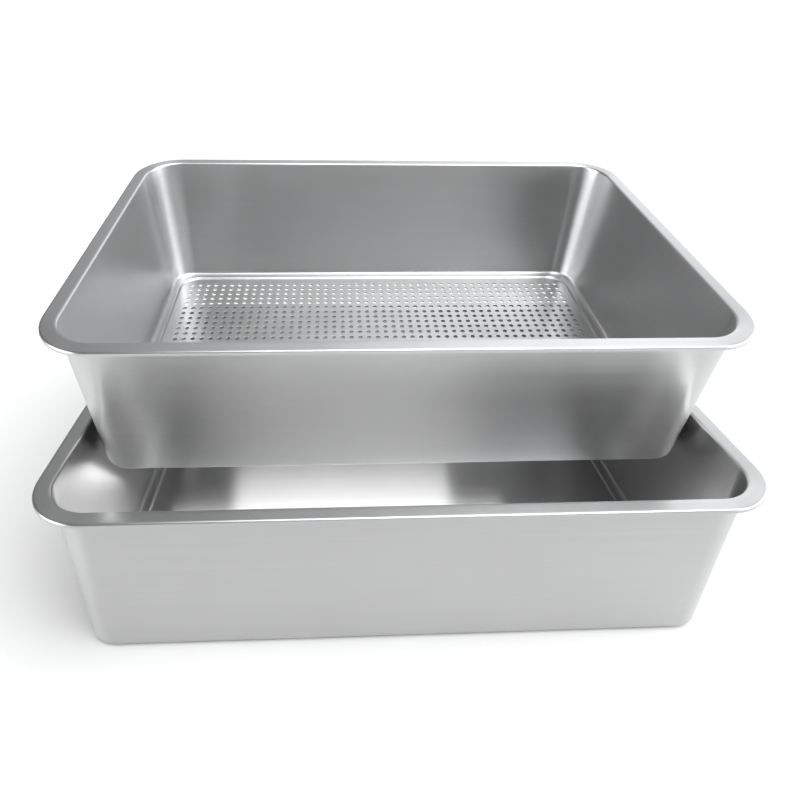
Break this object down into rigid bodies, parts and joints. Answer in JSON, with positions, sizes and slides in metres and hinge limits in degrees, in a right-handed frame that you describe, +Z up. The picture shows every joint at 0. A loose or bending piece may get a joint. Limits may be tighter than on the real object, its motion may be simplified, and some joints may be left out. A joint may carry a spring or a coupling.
{
  "type": "instrument tray set",
  "caption": "Deep stainless steel instrument tray with a perforated drainer tray set at a slant in its mouth, both with flat flanged rims and rounded corners.",
  "frame": {"origin": "middle of the solid tray's base, on its underside", "axes": "+X along the long side of both trays, -Y to the front, +Z up"},
  "size_m": [0.5, 0.3794, 0.2836],
  "materials": {
    "solid_tray_steel": "satin",
    "perforated_tray_steel": "satin"
  },
  "bodies": {
    "solid_tray": {"solid_tray": "solid_tray_steel"},
    "perforated_tray": {"perforated_tray": "perforated_tray_steel"}
  },
  "joints": [
    {"name": "perforated_tray_lift", "type": "slide", "parent": "solid_tray", "child": "perforated_tray", "axis": [0, 0, 1], "range_m": [0, 0.2]}
  ]
}
